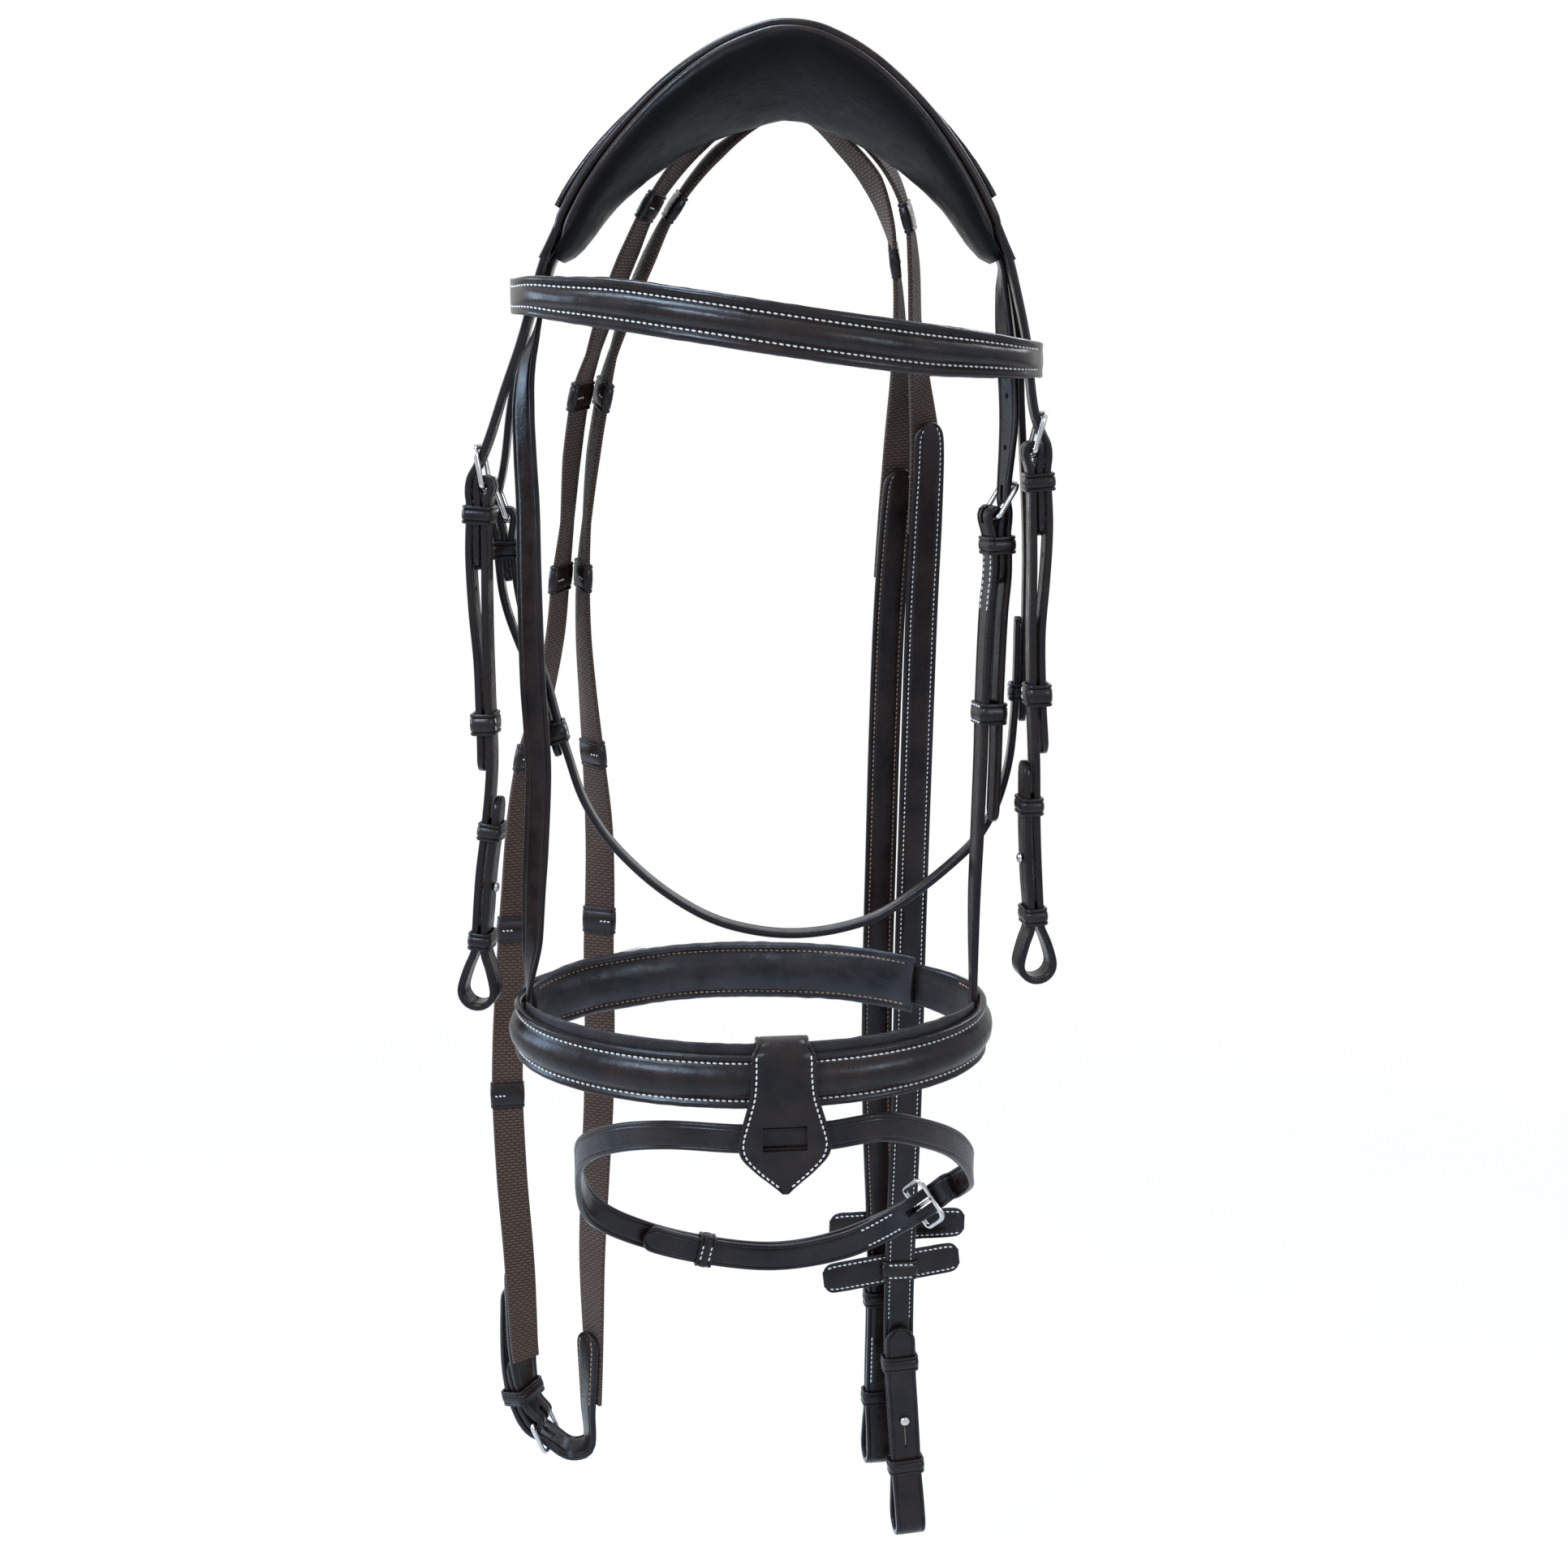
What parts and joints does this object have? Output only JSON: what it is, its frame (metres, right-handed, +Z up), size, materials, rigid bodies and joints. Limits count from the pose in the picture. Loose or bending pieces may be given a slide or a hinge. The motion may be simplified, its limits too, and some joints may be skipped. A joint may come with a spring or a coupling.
{
  "type": "horse bridle",
  "caption": "Hanging leather horse bridle with padded poll, browband and noseband, flash strap, throatlatch and web reins with leather stops.",
  "frame": {"origin": "the place where the poll and the reins hang, at the middle of the poll", "axes": "+X across the head, to the right in the picture; +Y backwards, away from the camera; +Z up"},
  "size_m": [0.3072, 0.2543, 0.8414],
  "materials": {
    "leather": "smooth, waxed, nearly black brown",
    "padding": "soft padded leather, black",
    "web": "ribbed brown web",
    "steel": "polished stainless steel"
  },
  "bodies": {
    "headstall": {"headpiece": "leather", "poll_pad": "padding", "headpiece_cover": "leather", "sliphead": "leather", "cheek_strap_left": "leather", "cheek_buckle_left": "steel", "cheek_keeper_left": "leather", "bit_keeper_lower_left": "leather", "bit_stud_left": "steel", "cheek_strap_right": "leather", "cheek_buckle_right": "steel", "cheek_keeper_right": "leather", "bit_keeper_lower_right": "leather", "bit_stud_right": "steel", "throatlatch_strap": "leather", "throatlatch_buckle": "steel", "throatlatch_keeper": "leather", "throatlatch_lap_keeper": "leather", "hanger_strap": "leather", "hanger_buckle": "steel", "hanger_keeper": "leather"},
    "browband_assembly": {"browband": "leather", "browband_lining": "padding"},
    "noseband_assembly": {"noseband_strap": "leather", "noseband_buckle": "steel", "noseband_lining": "padding", "chin_pad": "padding", "flash_tab": "leather"},
    "flash_assembly": {"flash_strap": "leather", "flash_buckle": "steel", "flash_keeper": "leather"},
    "rein_pair": {"rein_outer_tab": "leather", "rein_inner_billet": "leather", "rein_web_outer": "web", "rein_web_inner": "web", "rein_strap_outer": "leather", "rein_strap_inner": "leather", "rein_buckle": "steel", "rein_keeper": "leather", "rein_bit_keeper_lower_outer": "leather", "rein_bit_keeper_lower_inner": "leather", "rein_stud_outer": "steel", "rein_stud_inner": "steel"},
    "cheek_tongue_left_pin": {"cheek_tongue_left": "steel"},
    "cheek_tongue_right_pin": {"cheek_tongue_right": "steel"},
    "throatlatch_tongue_pin": {"throatlatch_tongue": "steel"},
    "hanger_tongue_pin": {"hanger_tongue": "steel"},
    "noseband_tongue_pin": {"noseband_tongue": "steel"},
    "flash_tongue_pin": {"flash_tongue": "steel"},
    "rein_tongue_pin": {"rein_tongue": "steel"},
    "cheek_runner_left_ring": {"cheek_runner_left": "leather"},
    "cheek_runner_right_ring": {"cheek_runner_right": "leather"},
    "throatlatch_runner_ring": {"throatlatch_runner": "leather"},
    "hanger_runner_ring": {"hanger_runner": "leather"},
    "bit_keeper_upper_left_ring": {"bit_keeper_upper_left": "leather"},
    "bit_keeper_upper_right_ring": {"bit_keeper_upper_right": "leather"},
    "rein_bit_keeper_upper_outer_ring": {"rein_bit_keeper_upper_outer": "leather"},
    "rein_bit_keeper_upper_inner_ring": {"rein_bit_keeper_upper_inner": "leather"},
    "rein_stop_outer_piece": {"rein_stop_outer": "leather"},
    "rein_stop_inner_piece": {"rein_stop_inner": "leather"}
  },
  "joints": [
    {"name": "browband_slide", "type": "slide", "parent": "headstall", "child": "browband_assembly", "axis": [0, 0, -1], "range_m": [0, 0.003]},
    {"name": "noseband_tilt", "type": "hinge", "parent": "headstall", "child": "noseband_assembly", "pos_m": [-0.021, 0, -0.46452], "axis": [1, 0, 0], "range_deg": [-3, 3]},
    {"name": "flash_swing", "type": "hinge", "parent": "noseband_assembly", "child": "flash_assembly", "pos_m": [-0.00353, -0.0794, -0.49675], "axis": [1, 0, 0], "range_deg": [0, 4]},
    {"name": "rein_swing", "type": "hinge", "parent": "headstall", "child": "rein_pair", "pos_m": [-0.00002, 0.0392, -0.00112], "axis": [1, 0, 0], "range_deg": [0, 10]},
    {"name": "cheek_tongue_left_hinge", "type": "hinge", "parent": "headstall", "child": "cheek_tongue_left_pin", "pos_m": [-0.15125, -0.00978, -0.18331], "axis": [-0.0667, -0.9978, 0.002], "range_deg": [0, 20]},
    {"name": "cheek_tongue_right_hinge", "type": "hinge", "parent": "headstall", "child": "cheek_tongue_right_pin", "pos_m": [0.11877, -0.00981, -0.16631], "axis": [-0.0508, 0.9987, 0.0024], "range_deg": [0, 20]},
    {"name": "throatlatch_tongue_hinge", "type": "hinge", "parent": "headstall", "child": "throatlatch_tongue_pin", "pos_m": [-0.14432, 0.02005, -0.20065], "axis": [0.0083, -0.9998, -0.0178], "range_deg": [0, 20]},
    {"name": "hanger_tongue_hinge", "type": "hinge", "parent": "headstall", "child": "hanger_tongue_pin", "pos_m": [0.10029, 0.00062, -0.19855], "axis": [-0.2862, 0.9569, 0.0497], "range_deg": [0, 20]},
    {"name": "noseband_tongue_hinge", "type": "hinge", "parent": "noseband_assembly", "child": "noseband_tongue_pin", "pos_m": [-0.09377, 0.06264, -0.45424], "axis": [-0.0369, -0.0149, 0.9992], "range_deg": [0, 20]},
    {"name": "flash_tongue_hinge", "type": "hinge", "parent": "flash_assembly", "child": "flash_tongue_pin", "pos_m": [0.06823, 0.03346, -0.5768], "axis": [0.551, -0.3341, -0.7647], "range_deg": [0, 20]},
    {"name": "rein_tongue_hinge", "type": "hinge", "parent": "rein_pair", "child": "rein_tongue_pin", "pos_m": [-0.14731, 0.10868, -0.73297], "axis": [0.2717, 0.9388, 0.2117], "range_deg": [0, 20]},
    {"name": "cheek_runner_left_slide", "type": "slide", "parent": "headstall", "child": "cheek_runner_left_ring", "axis": [0.0239, 0, -0.9997], "range_m": [-0.005, 0.005]},
    {"name": "cheek_runner_right_slide", "type": "slide", "parent": "headstall", "child": "cheek_runner_right_ring", "axis": [0.0426, 0, -0.9991], "range_m": [-0.005, 0.005]},
    {"name": "throatlatch_runner_slide", "type": "slide", "parent": "headstall", "child": "throatlatch_runner_ring", "axis": [0.2628, 0, -0.9649], "range_m": [-0.002, 0.002]},
    {"name": "hanger_runner_slide", "type": "slide", "parent": "headstall", "child": "hanger_runner_ring", "axis": [-0.0151, 0, -0.9999], "range_m": [-0.005, 0.005]},
    {"name": "bit_keeper_upper_left_slide", "type": "slide", "parent": "headstall", "child": "bit_keeper_upper_left_ring", "axis": [-0.1355, 0, -0.9908], "range_m": [-0.003, 0.003]},
    {"name": "bit_keeper_upper_right_slide", "type": "slide", "parent": "headstall", "child": "bit_keeper_upper_right_ring", "axis": [0.0177, 0, -0.9998], "range_m": [-0.003, 0.003]},
    {"name": "rein_bit_keeper_upper_outer_slide", "type": "slide", "parent": "rein_pair", "child": "rein_bit_keeper_upper_outer_ring", "axis": [0.0367, 0, -0.9993], "range_m": [-0.004, 0.004]},
    {"name": "rein_bit_keeper_upper_inner_slide", "type": "slide", "parent": "rein_pair", "child": "rein_bit_keeper_upper_inner_ring", "axis": [0.0058, 0.0042, -1], "range_m": [-0.004, 0.004]},
    {"name": "rein_stop_outer_slide", "type": "slide", "parent": "rein_pair", "child": "rein_stop_outer_piece", "axis": [-0.0182, 0.0389, -0.9991], "range_m": [-0.006, 0.006]},
    {"name": "rein_stop_inner_slide", "type": "slide", "parent": "rein_pair", "child": "rein_stop_inner_piece", "axis": [0.0243, 0.0454, -0.9987], "range_m": [-0.006, 0.006]}
  ]
}
